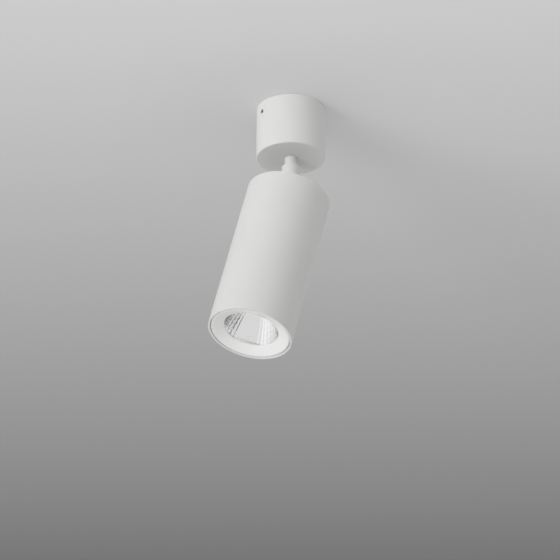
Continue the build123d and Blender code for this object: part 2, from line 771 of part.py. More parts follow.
tail_seat = Plane(origin=head_level(tail_end).origin, x_dir=head_across, z_dir=-head_up)
tail_bush = flanged_bush(tail_seat, tongue_bore - 2 * end_bush_wall, tongue_bore - 2 * fit_clearance,
                         end_bush_length, nipple_diameter, end_bush_flange)
tail_bush.label = "tail_bush"
export_step(tail_bush, "parts/tail_bush.step")

# ---------------------------------------------------------------------------
# Heat sink: round base against the tube's shoulder, with fins round a core
# ---------------------------------------------------------------------------

fin_outer_radius = upper_bore_radius - fin_clearance
core_radius = core_diameter / 2

with BuildPart() as heat_sink:
    with BuildSketch(head_level(sink_face)):
        Circle(lower_bore_radius - slide_clearance)
    extrude(amount=sink_base)
    with BuildSketch(head_level(sink_back)):
        Circle(core_radius)
        with PolarLocations(0, fin_count, start_angle=rod_start_angle):
            Rectangle(fin_outer_radius, fin_thickness, align=(Align.MIN, Align.CENTER))
        with PolarLocations(rod_radius, rod_count, start_angle=rod_start_angle):
            Circle(boss_diameter / 2)
    extrude(amount=fin_height)
    with BuildSketch(head_level(fin_top)):
        Circle(core_bore / 2)
    extrude(amount=-(fin_height - core_wall_below), mode=Mode.SUBTRACT)
    with BuildSketch(head_level(fin_top)):
        with PolarLocations(rod_radius, rod_count, start_angle=rod_start_angle):
            Circle(m3 / 2 + thread_clearance)
    extrude(amount=-rod_tap_depth, mode=Mode.SUBTRACT)
    with BuildSketch(head_level(sink_face)):
        with PolarLocations(holder_screw_circle / 2, 2):
            Circle(m3 / 2 + thread_clearance)
    extrude(amount=sink_base, mode=Mode.SUBTRACT)
heat_sink.part.label = "heat_sink"
export_step(heat_sink.part, "parts/heat_sink.step")

# ---------------------------------------------------------------------------
# Driver on its plate, clamped between the fins and the tie rods
# ---------------------------------------------------------------------------

driver_height = tail_end - end_bush_flange - driver_headroom - plate_top
rod_reach = rod_radius * abs(math.cos(math.radians(rod_start_angle + 360 / rod_count)))
driver_length = 2 * (rod_reach - rod_diameter / 2 - driver_gap)
driver_screw_place = (driver_length + driver_ear_length) / 2

with BuildPart() as driver_plate:
    with BuildSketch(head_level(fin_top)):
        Circle(upper_bore_radius - plate_margin)
        with Locations((0, plate_margin - upper_bore_radius)):
            Rectangle(wire_notch_width, 2 * wire_notch_depth, mode=Mode.SUBTRACT)
        with PolarLocations(rod_radius, rod_count, start_angle=rod_start_angle):
            Circle(m3 / 2 + fit_clearance, mode=Mode.SUBTRACT)
        with Locations((driver_screw_place, 0), (-driver_screw_place, 0)):
            Circle(m3 / 2 + thread_clearance, mode=Mode.SUBTRACT)
    extrude(amount=plate_thickness)
driver_plate.part.label = "driver_plate"
export_step(driver_plate.part, "parts/driver_plate.step")

with BuildPart() as driver_case:
    with BuildSketch(head_level(plate_top)):
        RectangleRounded(driver_length, driver_width, driver_corner)
    extrude(amount=driver_height - driver_lid_height)
    with BuildSketch(head_level(plate_top + driver_height - driver_lid_height)):
        RectangleRounded(driver_length - 2 * driver_lid_step, driver_width - 2 * driver_lid_step,
                         driver_corner)
    extrude(amount=driver_lid_height)
    with BuildSketch(head_level(plate_top)):
        RectangleRounded(driver_length + 2 * driver_ear_length, driver_ear_width, driver_corner)
    extrude(amount=driver_ear_thickness)
    with BuildSketch(head_level(plate_top)):
        with Locations((driver_screw_place, 0), (-driver_screw_place, 0)):
            Circle(m3 / 2 + fit_clearance)
    extrude(amount=driver_ear_thickness, mode=Mode.SUBTRACT)
    with BuildSketch(head_level(plate_top + driver_height)):
        Rectangle(driver_window_width, driver_window_height)
    extrude(amount=-driver_window_depth, mode=Mode.SUBTRACT)
driver_case.part.label = "driver_case"
export_step(driver_case.part, "parts/driver_case.step")

with BuildPart() as driver_screws:
    for side in (1, -1):
        ear = head_level(plate_top + driver_ear_thickness)
        seat = Plane(origin=ear.from_local_coords((side * driver_screw_place, 0, 0)),
                     x_dir=head_across, z_dir=head_up)
        add(screw(seat, m3, driver_ear_thickness + plate_thickness, m3_head, m3_head_height, m3_socket))
driver_screws.part.label = "driver_screws"
export_step(driver_screws.part, "parts/driver_screws.step")

# ---------------------------------------------------------------------------
# Light source: board with its phosphor on a thermal pad, held by a moulded ring
# ---------------------------------------------------------------------------

pad_face = sink_face - pad_thickness
board_face = pad_face - board_thickness
phosphor_face = board_face - phosphor_thickness
holder_face = sink_face - holder_thickness

with BuildPart() as thermal_pad:
    with BuildSketch(head_level(pad_face)):
        Rectangle(board_size, board_size)
    extrude(amount=pad_thickness)
thermal_pad.part.label = "thermal_pad"
export_step(thermal_pad.part, "parts/thermal_pad.step")

with BuildPart() as led_board:
    with BuildSketch(head_level(board_face)):
        Rectangle(board_size, board_size)
    extrude(amount=board_thickness)
led_board.part.label = "led_board"
export_step(led_board.part, "parts/led_board.step")

with BuildPart() as led_phosphor:
    with BuildSketch(head_level(phosphor_face)):
        Circle(phosphor_diameter / 2)
    extrude(amount=phosphor_thickness)
    low_face = led_phosphor.faces().filter_by(GeomType.PLANE).sort_by(head_axis)[0]
    chamfer(low_face.edges(), phosphor_thickness / 2)
led_phosphor.part.label = "led_phosphor"
export_step(led_phosphor.part, "parts/led_phosphor.step")

with BuildPart() as led_holder:
    with BuildSketch(head_level(holder_face)):
        Circle(holder_diameter / 2)
        Rectangle(holder_diameter, holder_flat_width, mode=Mode.INTERSECT)
        Circle(reflector_base / 2 + fit_clearance, mode=Mode.SUBTRACT)
        with PolarLocations(holder_screw_circle / 2, 2):
            Circle(m3 / 2 + fit_clearance, mode=Mode.SUBTRACT)
    extrude(amount=holder_thickness)
    with BuildSketch(head_level(sink_face)):
        Rectangle(board_size + 2 * fit_clearance, board_size + 2 * fit_clearance)
    extrude(amount=-(pad_thickness + board_thickness + fit_clearance), mode=Mode.SUBTRACT)
    with BuildSketch(head_level(holder_face)):
        with PolarLocations(holder_screw_circle / 2, 2):
            Circle(m3_head / 2 + head_recess_clearance)
    extrude(amount=m3_head_height, mode=Mode.SUBTRACT)
led_holder.part.label = "led_holder"
export_step(led_holder.part, "parts/led_holder.step")

with BuildPart() as holder_screws:
    for side in (1, -1):
        level = head_level(holder_face + m3_head_height)
        seat = Plane(origin=level.from_local_coords((side * holder_screw_circle / 2, 0, 0)),
                     x_dir=head_across, z_dir=-head_up)
        add(screw(seat, m3, holder_thickness - m3_head_height + sink_base - tap_spare,
                  m3_head, m3_head_height, m3_socket))
holder_screws.part.label = "holder_screws"
export_step(holder_screws.part, "parts/holder_screws.step")

# ---------------------------------------------------------------------------
# Reflector: parabolic bowl whose inside is made of flat facets, row by row
# ---------------------------------------------------------------------------

flange_level = mouth + trim_setback + trim_depth + trim_lip
bowl_base = holder_face
bowl_height = bowl_base - flange_level
mouth_radius = reflector_mouth / 2
base_radius = reflector_base / 2


def bowl_radius(share):
    """Inner radius of the parabola, from 0 at the mouth to 1 at the base."""
    return math.sqrt(mouth_radius ** 2 - (mouth_radius ** 2 - base_radius ** 2) * share)


steps = [index / facet_rows for index in range(facet_rows + 1)]
shares = [step * (1 + row_crowding * (1 - step)) for step in steps]

with BuildPart() as reflector:
    with BuildSketch(head_side):
        with BuildLine():
            wall = [(bowl_radius(share) + reflector_wall, flange_level + share * bowl_height)
                    for share in shares]
            Polyline(*wall, (0, bowl_base), (0, flange_level), close=True)
        make_face()
    revolve(axis=head_axis)
    with BuildSketch(head_level(flange_level)):
        Circle(reflector_flange / 2)
    extrude(amount=reflector_flange_thickness)
    with BuildSketch(head_level(bowl_base)):
        Circle(base_radius + 2 * reflector_wall)
    extrude(amount=-collar_height)
    for share in shares:
        with BuildSketch(head_level(flange_level + share * bowl_height)):
            RegularPolygon(bowl_radius(share), facet_count)
    loft(ruled=True, mode=Mode.SUBTRACT)
reflector.part.label = "reflector"
export_step(reflector.part, "parts/reflector.step")

# ---------------------------------------------------------------------------
# Trim ring: white cone from the rim to the reflector, with a skirt in the tube
# ---------------------------------------------------------------------------

trim_radius = lower_bore_radius - trim_gap
trim_face = mouth + trim_setback
cone_base = trim_face + trim_depth
skirt_inside = trim_radius - trim_skirt_wall
ledge_radius = reflector_flange / 2 + fit_clearance
cone_slope = trim_depth / (trim_radius - trim_edge - mouth_radius)


def cone_back(radius):
    """Level of the cone's back, which runs parallel to its white face."""
    return cone_base - (radius - mouth_radius) * cone_slope + trim_skin * math.hypot(1, cone_slope)


groove_level = trim_face + grip_drop
grip_radius = lower_bore_radius - running_clearance - grip_thickness / 2
groove_floor = grip_radius - grip_thickness / 2 - running_clearance
groove_half = grip_thickness / 2 + fit_clearance

with BuildPart() as trim_ring:
    with BuildSketch(head_side):
        with BuildLine():
            Polyline((trim_radius, trim_face), (trim_radius - trim_edge, trim_face),
                     (mouth_radius, cone_base), (mouth_radius, flange_level),
                     (ledge_radius, flange_level), (ledge_radius, cone_back(ledge_radius)),
                     (skirt_inside, cone_back(skirt_inside)),
                     (skirt_inside, trim_face + trim_skirt_length),
                     (trim_radius, trim_face + trim_skirt_length),
                     (trim_radius, groove_level + groove_half), (groove_floor, groove_level + groove_half),
                     (groove_floor, groove_level - groove_half), (trim_radius, groove_level - groove_half),
                     close=True)
        make_face()
    revolve(axis=head_axis)
trim_ring.part.label = "trim_ring"
export_step(trim_ring.part, "parts/trim_ring.step")

# The grip ring is cut from rubber tube, so its section is square with bevelled corners
with BuildPart() as grip_ring:
    with BuildSketch(head_side):
        with Locations((grip_radius, groove_level)):
            section = Rectangle(grip_thickness, grip_thickness)
        chamfer(section.vertices(), grip_bevel)
    revolve(axis=head_axis)
grip_ring.part.label = "grip_ring"
export_step(grip_ring.part, "parts/grip_ring.step")
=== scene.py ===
import bmesh
import bpy
import json
import math
from mathutils import Matrix, Vector


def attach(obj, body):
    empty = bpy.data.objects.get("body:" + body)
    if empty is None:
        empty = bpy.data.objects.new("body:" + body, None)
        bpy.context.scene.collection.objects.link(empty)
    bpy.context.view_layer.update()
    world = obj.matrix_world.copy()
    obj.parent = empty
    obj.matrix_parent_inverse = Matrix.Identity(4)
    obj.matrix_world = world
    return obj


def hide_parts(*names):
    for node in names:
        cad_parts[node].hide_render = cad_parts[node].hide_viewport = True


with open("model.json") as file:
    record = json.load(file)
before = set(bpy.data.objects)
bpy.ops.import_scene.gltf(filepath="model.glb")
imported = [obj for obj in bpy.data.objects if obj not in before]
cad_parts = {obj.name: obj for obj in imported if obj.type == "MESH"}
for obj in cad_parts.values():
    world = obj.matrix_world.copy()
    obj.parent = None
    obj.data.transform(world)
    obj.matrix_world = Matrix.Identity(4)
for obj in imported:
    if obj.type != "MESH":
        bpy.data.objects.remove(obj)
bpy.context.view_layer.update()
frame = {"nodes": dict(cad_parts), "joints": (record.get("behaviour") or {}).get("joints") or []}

# ---------------------------------------------------------------------------
# Camera: it looks up at the lamp from below and from the side on which the head leans,
# through a long lens. Its place comes from the outlines of the canopy and the head.
# ---------------------------------------------------------------------------
camera_place = (-1.83169, -2.81748, -1.87841)
camera_pitch, camera_turn, camera_lens = 116.62, -32.84, 241.46

camera = bpy.data.objects.new("camera", bpy.data.cameras.new("camera"))
camera.location = camera_place
camera.rotation_euler = (math.radians(camera_pitch), 0, math.radians(camera_turn))
camera.data.lens = camera_lens
camera.data.sensor_width = 36
camera.data.clip_end = 40
bpy.context.scene.collection.objects.link(camera)
bpy.context.scene.camera = camera
bpy.context.scene.view_settings.view_transform = "Standard"


# ---------------------------------------------------------------------------
# Ceiling: a flat painted ceiling, which the canopy's rim meets all round. It is seen from
# below only, and is open to a view from above. Its colour gets darker away from the camera,
# which is painted shade for the fall of light across it.
# ---------------------------------------------------------------------------
class Wire:
    """A socket in a material: operators on it add Math nodes, and node() adds any other node."""

    def __init__(self, tree, socket=None):
        self.tree, self.socket = tree, socket

    def node(self, kind, settings, sockets, output=0):
        """Adds one node: its settings first, then the values or links of its sockets."""
        made = self.tree.nodes.new("ShaderNode" + kind)
        for name, value in settings.items():
            setattr(made, name, value)
        for name, value in sockets.items():
            if isinstance(value, Wire):
                self.tree.links.new(value.socket, made.inputs[name])
            else:
                made.inputs[name].default_value = value
        return Wire(self.tree, made.outputs[output])

    def maths(self, operation, first, second):
        return self.node("Math", {"operation": operation}, {0: first, 1: second})

    def __add__(self, other):
        return self.maths("ADD", self, other)

    def __sub__(self, other):
        return self.maths("SUBTRACT", self, other)

    def __rsub__(self, other):
        return self.maths("SUBTRACT", other, self)

    def __mul__(self, other):
        return self.maths("MULTIPLY", self, other)

    def __lt__(self, other):
        return self.maths("LESS_THAN", self, other)

    __radd__, __rmul__ = __add__, __mul__

    def tint(self, low, high):
        """A colour between two colours, by this value from 0 to 1."""
        factor, first_colour, second_colour, mixed_colour = 0, 6, 7, 2
        return self.node("Mix", {"data_type": "RGBA"}, {
            factor: self, first_colour: (*low, 1), second_colour: (*high, 1)}, mixed_colour)

    def into(self, kind, name):
        """Links this value to an input of the material's node of a kind."""
        target = next(node for node in self.tree.nodes if node.bl_idname == kind)
        self.tree.links.new(self.socket, target.inputs[name])


def new_finish(name, **constants):
    """A material with its Principled shader's constant values, and a wire to start from."""
    material = bpy.data.materials.new(name)
    material.use_nodes = True
    shader = material.node_tree.nodes["Principled BSDF"]
    for socket, value in constants.items():
        shader.inputs[socket.replace("_", " ")].default_value = value
    return material, Wire(material.node_tree)


ceiling_reach = 1.6
ceiling_gap = 0.0002
ceiling_lit_tone, ceiling_shaded_tone, ceiling_mirrored = 0.98, 0.25, 0.50
gradient_start, gradient_end = -0.35, 1.25
away = Vector((0.5423, 0.8402, 0))

ceiling_mesh = bpy.data.meshes.new("ceiling")
ceiling_mesh.from_pydata([(x * ceiling_reach, y * ceiling_reach, ceiling_gap)
                          for x, y in ((-1, -1), (-1, 1), (1, 1), (1, -1))], [], [(0, 1, 2, 3)])
ceiling = bpy.data.objects.new("ceiling", ceiling_mesh)
bpy.context.scene.collection.objects.link(ceiling)

paint, start = new_finish("ceiling_paint", Roughness=0.9)
place = start.node("TexCoord", {}, {}, "Object")
# Painted shade: the base colour runs from light near the camera to dark away from it.
depth = start.node("VectorMath", {"operation": "DOT_PRODUCT"}, {0: place, 1: away}, "Value")
share = start.node("MapRange", {}, {"Value": depth, "From Min": gradient_start, "From Max": gradient_end})
share.tint((ceiling_lit_tone,) * 3, (ceiling_shaded_tone,) * 3).into("ShaderNodeBsdfPrincipled", "Base Color")
clear = start.node("BsdfTransparent", {}, {})
backside = start.node("NewGeometry", {}, {}, "Backfacing")
surface = Wire(start.tree, start.tree.nodes["Principled BSDF"].outputs["BSDF"])
rays = start.node("LightPath", {}, {}, "Is Glossy Ray")
shine = start.node("Emission", {}, {"Strength": ceiling_mirrored})
below = start.node("MixShader", {}, {0: rays, 1: surface, 2: shine})
start.node("MixShader", {}, {0: backside, 1: below, 2: clear}).into("ShaderNodeOutputMaterial", "Surface")
ceiling_mesh.materials.append(paint)
ceiling.visible_shadow = False

# ---------------------------------------------------------------------------
# Light: a pale room, a large soft lamp on the camera's left, a small one that shows in the
# mirror, and a weak one above, which lights the canopy's inside in the views from above.
# The mirror sees a plainer room, with one dark and one bright side.
# ---------------------------------------------------------------------------
room_view, room_mirror, room_dark, room_bright = 0.52, 0.80, 0.03, 0.22
room_side, room_below = 1.2, 1.3
dark_side, dark_edge, dark_core = Vector((-0.775, -0.542, -0.326)), 0.973, 0.990
bright_side, bright_edge, bright_core = Vector((0.10, -0.77, -0.63)), 0.76, 0.95

world = bpy.data.worlds.new("room")
world.use_nodes = True
bpy.context.scene.world = world
start = Wire(world.node_tree)
direction = start.node("TexCoord", {}, {}, "Generated")
height = start.node("SeparateXYZ", {}, {"Vector": direction}, "Z")
fall = start.node("MapRange", {}, {"Value": height, "From Min": 0.0, "From Max": -1.0})
walls = (1 - fall) * (1 - fall) * (1 - fall) * room_side
ground = fall * fall * fall * fall * room_below
glow = (walls + ground) * (height < 0.0)
toward = start.node("VectorMath", {"operation": "DOT_PRODUCT"}, {0: direction, 1: dark_side}, "Value")
shine = start.node("MapRange", {}, {"Value": toward, "From Min": dark_edge, "From Max": dark_core,
                                    "To Min": room_mirror, "To Max": room_dark})
toward = start.node("VectorMath", {"operation": "DOT_PRODUCT"}, {0: direction, 1: bright_side}, "Value")
shine = shine + start.node("MapRange", {}, {"Value": toward, "From Min": bright_edge,
                                            "From Max": bright_core, "To Min": 0.0, "To Max": room_bright})
seen = start.node("LightPath", {}, {}, "Is Camera Ray")
mirrored = start.node("LightPath", {}, {}, "Is Glossy Ray")
level = glow * (1 - seen) * (1 - mirrored) + seen * room_view + mirrored * shine
level.into("ShaderNodeBackground", "Color")


def soft_lamp(name, bearing, height_angle, distance, size, power, mirrored):
    """A square lamp that faces the spotlight, at a bearing from the camera's side in degrees."""
    turn = math.radians(bearing)
    side = Matrix.Rotation(-turn, 3, "Z") @ -away
    rise = math.radians(height_angle)
    spot = Vector((side.x * math.cos(rise), side.y * math.cos(rise), math.sin(rise))) * distance
    data = bpy.data.lights.new(name, "AREA")
    data.size, data.energy = size, power
    data.shape = "SQUARE"
    lamp = bpy.data.objects.new(name, data)
    lamp.location = spotlight_middle + spot
    lamp.rotation_euler = (-spot).to_track_quat("-Z", "Y").to_euler()
    lamp.visible_camera, lamp.visible_glossy = False, mirrored
    bpy.context.scene.collection.objects.link(lamp)


spotlight_middle = Vector((0, 0, -0.12))
soft_lamp("key_lamp", bearing=45, height_angle=-10, distance=6.0, size=3.2, power=156, mirrored=False)
soft_lamp("window_lamp", bearing=-13.6, height_angle=-32, distance=3.0, size=0.9, power=0.35, mirrored=True)

top_height, top_power, top_cone, top_blend, top_size = 0.5, 4.0, 8.0, 0.2, 0.03
top = bpy.data.objects.new("top_lamp", bpy.data.lights.new("top_lamp", "SPOT"))
top.data.energy, top.data.shadow_soft_size = top_power, top_size
top.data.spot_size, top.data.spot_blend = math.radians(top_cone), top_blend
top.location = (0, 0, top_height)
bpy.context.scene.collection.objects.link(top)

# ---------------------------------------------------------------------------
# Ceiling bracket, terminal block, and all screws, washers, bushes and rods: zinc plated
# steel, turned brass and natural nylon. The grub, pivot and cap screws show on the finished
# lamp. The bracket and the block show only from above, through the canopy's open top.
# ---------------------------------------------------------------------------
tilt_joint = frame["joints"][1]
lean = math.radians(-tilt_joint["range_deg"][0])


def local_place(start, turned=False, stretch=(1, 1, 1)):
    """The place on a piece in metres, in the head's own axes where it is turned."""
    place = start.node("TexCoord", {}, {}, "Object")
    if turned:
        place = start.node("Mapping", {"vector_type": "POINT"}, {"Vector": place, "Rotation": (0, -lean, 0)})
    return start.node("VectorMath", {"operation": "MULTIPLY"}, {0: place, 1: stretch})


def noise(place, scale, detail=3.0):
    """Smooth noise from 0 to 1, with so many waves to the metre."""
    return place.node("TexNoise", {}, {"Vector": place, "Scale": scale, "Detail": detail, "Roughness": 0.5})


def relief(height, depth):
    """A bump of a depth in metres."""
    height.node("Bump", {}, {"Height": height, "Distance": depth, "Strength": 1.0}).into(
        "ShaderNodeBsdfPrincipled", "Normal")


def plated_steel(name, stretch, low=(0.50, 0.51, 0.54), high=(0.70, 0.71, 0.72)):
    """Zinc plate on steel, with the fine lines of rolling or turning along a direction."""
    finish, start = new_finish(name, Metallic=1.0)
    lines = noise(local_place(start, stretch=stretch), scale=900.0, detail=4.0)
    bloom = noise(local_place(start), scale=260.0, detail=2.0)
    (lines * 0.6 + bloom * 0.4).tint(low, high).into("ShaderNodeBsdfPrincipled", "Base Color")
    (0.24 + bloom * 0.16 + lines * 0.08).into("ShaderNodeBsdfPrincipled", "Roughness")
    relief(lines, depth=0.00001)
    return finish


def moulded(name, low, high, rough, grain=2400.0):
    """Moulded plastic with a fine spark-eroded grain."""
    finish, start = new_finish(name, Specular_IOR_Level=0.45)
    skin = noise(local_place(start), scale=grain)
    cloud = noise(local_place(start), scale=90.0, detail=2.0)
    cloud.tint(low, high).into("ShaderNodeBsdfPrincipled", "Base Color")
    (rough + skin * 0.12).into("ShaderNodeBsdfPrincipled", "Roughness")
    relief(skin, depth=0.00002)
    return finish


def dress(finish, *names):
    """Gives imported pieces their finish."""
    for name in names:
        for place in frame["nodes"][name].material_slots:
            place.material = finish


rolled_steel = plated_steel("rolled_zinc", (0.12, 1, 1))
turned_steel = plated_steel("turned_zinc", (1, 1, 6))
# Near-black steel, used only for the canopy's grub screws.
grub_near_black_steel = plated_steel("grub_screw_near_black", (6, 1, 1), (0.03, 0.03, 0.035), (0.07, 0.07, 0.075))
natural_nylon = moulded("natural_nylon", (0.78, 0.78, 0.75), (0.84, 0.84, 0.82), rough=0.42)

brass, start = new_finish("turned_brass", Metallic=1.0)
rings = noise(local_place(start, stretch=(1, 1, 5)), scale=700.0)
rings.tint((0.72, 0.55, 0.26), (0.84, 0.69, 0.38)).into("ShaderNodeBsdfPrincipled", "Base Color")
(0.22 + rings * 0.18).into("ShaderNodeBsdfPrincipled", "Roughness")
relief(rings, depth=0.00001)

dress(rolled_steel, "ceiling_bracket", "stop_washer", "spring_washer")
dress(turned_steel, "earth_washer", "earth_screw", "terminal_screws", "block_screws", "stop_pin", "stem_nut",
      "barrel_grub_screw", "pivot_screws", "tongue_lock_washer", "tongue_nut", "cap_screws", "tie_rods",
      "driver_screws", "holder_screws")
# The canopy's grub screws are coloured near black.
dress(grub_near_black_steel, "canopy_grub_screws")
dress(natural_nylon, "terminal_block", "swivel_bush", "friction_washers", "nipple_bush", "tail_bush")
dress(brass, "terminal_inserts", "hollow_nipple")


# ---------------------------------------------------------------------------
# Canopy: a deep cup turned from aluminium and powder coated white, with a small hole in
# each side for the grub screw that holds it on the bracket's ear.
# ---------------------------------------------------------------------------
def powder_coat(name, turned=False):
    """Fine matt white powder coat: a faint orange peel, and tone that drifts a little."""
    finish, start = new_finish(name, Specular_IOR_Level=0.3)
    peel = noise(local_place(start, turned), scale=1700.0, detail=2.0)
    grain = noise(local_place(start, turned), scale=6500.0, detail=2.0)
    drift = noise(local_place(start, turned), scale=22.0, detail=2.0)
    (drift * 0.7 + grain * 0.3).tint((0.775, 0.775, 0.765), (0.825, 0.825, 0.815)).into(
        "ShaderNodeBsdfPrincipled", "Base Color")
    (0.46 + grain * 0.1 + drift * 0.06).into("ShaderNodeBsdfPrincipled", "Roughness")
    relief(peel * 0.75 + grain * 0.25, depth=0.00004)
    return finish


def outline(*corners):
    """Points of a closed outline. A corner with a third number is rounded to that radius."""
    arc_steps = 4
    points = []
    for index, corner in enumerate(corners):
        here = Vector(corner[:2])
        if len(corner) == 2:
            points.append(here)
            continue
        back = (Vector(corners[index - 1][:2]) - here).normalized()
        ahead = (Vector(corners[(index + 1) % len(corners)][:2]) - here).normalized()
        half = back.angle(ahead) / 2
        centre = here + (back + ahead).normalized() * corner[2] / math.sin(half)
        first = here + back * corner[2] / math.tan(half) - centre
        last = here + ahead * corner[2] / math.tan(half) - centre
        for step in range(arc_steps + 1):
            points.append(centre + first.lerp(last, step / arc_steps).normalized() * corner[2])
    return points


def finish_piece(name, mesh, finish, body, replaced, place=Matrix(), crease=30):
    """Puts a new mesh in its place on its body, with its finish and what it stands for."""
    mesh.materials.append(finish)
    mesh.shade_smooth()
    mesh.set_sharp_from_angle(angle=math.radians(crease))
    piece = bpy.data.objects.new(name, mesh)
    piece.matrix_world = place
    bpy.context.scene.collection.objects.link(piece)
    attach(piece, body)
    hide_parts(*replaced)
    return piece


def lathe(name, points, turns):
    """A closed outline of (radius, height) in millimetres, turned about the z axis in so many steps."""
    mesh = bpy.data.meshes.new(name)
    ring = len(points)
    spots = [(point[0] * math.cos(angle) / 1000, point[0] * math.sin(angle) / 1000, point[1] / 1000)
             for angle in (2 * math.pi * turn / turns for turn in range(turns)) for point in points]
    faces = [(turn * ring + step, (turn + 1) % turns * ring + step,
              (turn + 1) % turns * ring + (step + 1) % ring, turn * ring + (step + 1) % ring)
             for turn in range(turns) for step in range(ring)]
    mesh.from_pydata(spots, [], faces)
    joined = bmesh.new()
    joined.from_mesh(mesh)
    bmesh.ops.remove_doubles(joined, verts=joined.verts, dist=1e-7)
    bmesh.ops.recalc_face_normals(joined, faces=joined.faces)
    joined.to_mesh(mesh)
    joined.free()
    return mesh


def drilled(mesh, cutters):
    """The mesh with cutter meshes taken out of it, each given with its place."""
    body = bpy.data.objects.new("workpiece", mesh)
    bpy.context.scene.collection.objects.link(body)
    tools = []
    for cutter, place in cutters:
        tool = bpy.data.objects.new("cutter", cutter)
        tool.matrix_world = place
        bpy.context.scene.collection.objects.link(tool)
        tools.append(tool)
        cut = body.modifiers.new("cut", "BOOLEAN")
        cut.operation, cut.solver, cut.object = "DIFFERENCE", "EXACT", tool
    bpy.context.view_layer.update()
    result = bpy.data.meshes.new_from_object(body.evaluated_get(bpy.context.evaluated_depsgraph_get()))
    for used in (body, *tools):
        bpy.data.objects.remove(used)
    return result


canopy_radius, canopy_height, canopy_wall, canopy_floor = 35.0, 56.0, 2.0, 3.0
bush_hole = 6.15
grub_drop, grub_hole = 11.5, 2.3
drill_start, drill_end = 28, 40

white_coat = powder_coat("white_coat")
canopy_mesh = lathe("canopy_cup", outline(
    (canopy_radius, 0, 0.3), (canopy_radius, -canopy_height, 0.9), (bush_hole, -canopy_height, 0.2),
    (bush_hole, canopy_floor - canopy_height, 0.2),
    (canopy_radius - canopy_wall, canopy_floor - canopy_height, 1.0),
    (canopy_radius - canopy_wall, 0, 0.2)), turns=320)
drill = lathe("drill", outline((0, drill_start), (grub_hole, drill_start), (grub_hole, drill_end),
                               (0, drill_end)), turns=48)
sides = [Matrix.Translation((0, 0, -grub_drop / 1000)) @ Matrix.Rotation(math.radians(90 * side), 4, "Y")
         for side in (1, -1)]
finish_piece("canopy_cup", drilled(canopy_mesh, [(drill, side) for side in sides]), white_coat,
             "ceiling_fixture", ["canopy"])

# ---------------------------------------------------------------------------
# Neck sleeve, knuckle barrel and tongue: turned and milled aluminium with the same white
# coat. The sleeve covers the nipple, and the barrel is slotted for the tongue.
# ---------------------------------------------------------------------------
neck_top, neck_bottom, neck_radius, neck_bore = -56.05, -66.0, 6.25, 5.1
neck_mesh = lathe("neck_collar", outline((neck_radius, neck_top, 0.2), (neck_radius, neck_bottom, 0.2),
                                         (neck_bore, neck_bottom, 0.1), (neck_bore, neck_top, 0.1)),
                  turns=160)
finish_piece("neck_collar", neck_mesh, white_coat, "swivel_stem", ["neck_sleeve"])
dress(white_coat, "knuckle_barrel")

head_coat = powder_coat("head_coat", turned=True)
dress(head_coat, "tilt_tongue")

# ---------------------------------------------------------------------------
# Head tube and cap: aluminium tube, turned and bored at both ends, and a disc that closes
# its top. Both are powder coated white, and are clamped on the heat sink by the tie rods.
# ---------------------------------------------------------------------------
dress(head_coat, "head_cap")

head_frame = Matrix.Translation(Vector(tilt_joint["pos_m"])) @ Matrix.Rotation(lean, 4, "Y")
head_radius, head_top, mouth = 42.5, -10.0, -182.0
lower_bore, upper_bore, cap_bore = 40.5, 39.9, 40.9
cap_seat, shoulder = -13.0, -122.0

tube_mesh = lathe("head_sleeve", outline(
    (head_radius, head_top, 0.5), (head_radius, mouth, 0.35), (lower_bore, mouth, 0.25),
    (lower_bore, shoulder), (upper_bore, shoulder), (upper_bore, cap_seat), (cap_bore, cap_seat),
    (cap_bore, head_top, 0.2)), turns=384)
finish_piece("head_sleeve", tube_mesh, head_coat, "spot_head", ["head_tube"], head_frame)

# ---------------------------------------------------------------------------
# Inside the head: turned and slotted aluminium heat sink, the driver in its white moulded
# housing, the ceramic board with its yellow phosphor, and the moulded holder over it.
# ---------------------------------------------------------------------------
machined, start = new_finish("machined_aluminium", Metallic=1.0)
cuts = noise(local_place(start, turned=True, stretch=(1, 1, 7)), scale=800.0, detail=4.0)
cuts.tint((0.62, 0.63, 0.64), (0.78, 0.78, 0.79)).into("ShaderNodeBsdfPrincipled", "Base Color")
(0.26 + cuts * 0.18).into("ShaderNodeBsdfPrincipled", "Roughness")
relief(cuts, depth=0.00001)

driver_shell = moulded("driver_shell", (0.80, 0.80, 0.78), (0.85, 0.85, 0.83), rough=0.5)
ceramic = moulded("board_ceramic", (0.84, 0.84, 0.82), (0.88, 0.88, 0.86), rough=0.3)
phosphor = moulded("phosphor_gel", (0.82, 0.68, 0.30), (0.86, 0.74, 0.36), rough=0.25, grain=5000.0)
elastomer = moulded("dark_elastomer", (0.055, 0.055, 0.055), (0.08, 0.08, 0.08), rough=0.6)
holder_plastic = moulded("holder_plastic", (0.74, 0.74, 0.72), (0.80, 0.80, 0.78), rough=0.45)

dress(machined, "heat_sink", "driver_plate")
dress(driver_shell, "driver_case")
dress(ceramic, "led_board")
dress(phosphor, "led_phosphor")
dress(elastomer, "thermal_pad")
dress(holder_plastic, "led_holder")

# ---------------------------------------------------------------------------
# Reflector: a moulded and bright metallised bowl. Its inside is 48 columns by 10 rows of
# facets, each a little pillowed, and its flange rests on the trim ring's ledge.
# ---------------------------------------------------------------------------
mouth_radius, base_radius, reflector_wall = 27.5, 8.5, 1.2
flange_level, bowl_base = -175.2, -134.0
flange_radius, flange_thickness = 30.0, 1.0
facet_count, facet_rows, row_crowding = 48, 10, 0.6
pillow, cells = 0.08, 4
bowl_height = bowl_base - flange_level
turns = facet_count * cells

mirror, start = new_finish("bright_mirror", Metallic=1.0)
haze = noise(local_place(start, turned=True), scale=400.0)
haze.tint((0.90, 0.90, 0.905), (0.94, 0.94, 0.94)).into("ShaderNodeBsdfPrincipled", "Base Color")
(0.03 + haze * 0.06).into("ShaderNodeBsdfPrincipled", "Roughness")


def bowl_radius(share):
    """Inner radius of the parabola, from 0 at the mouth to 1 at the base."""
    return math.sqrt(mouth_radius ** 2 - (mouth_radius ** 2 - base_radius ** 2) * share)


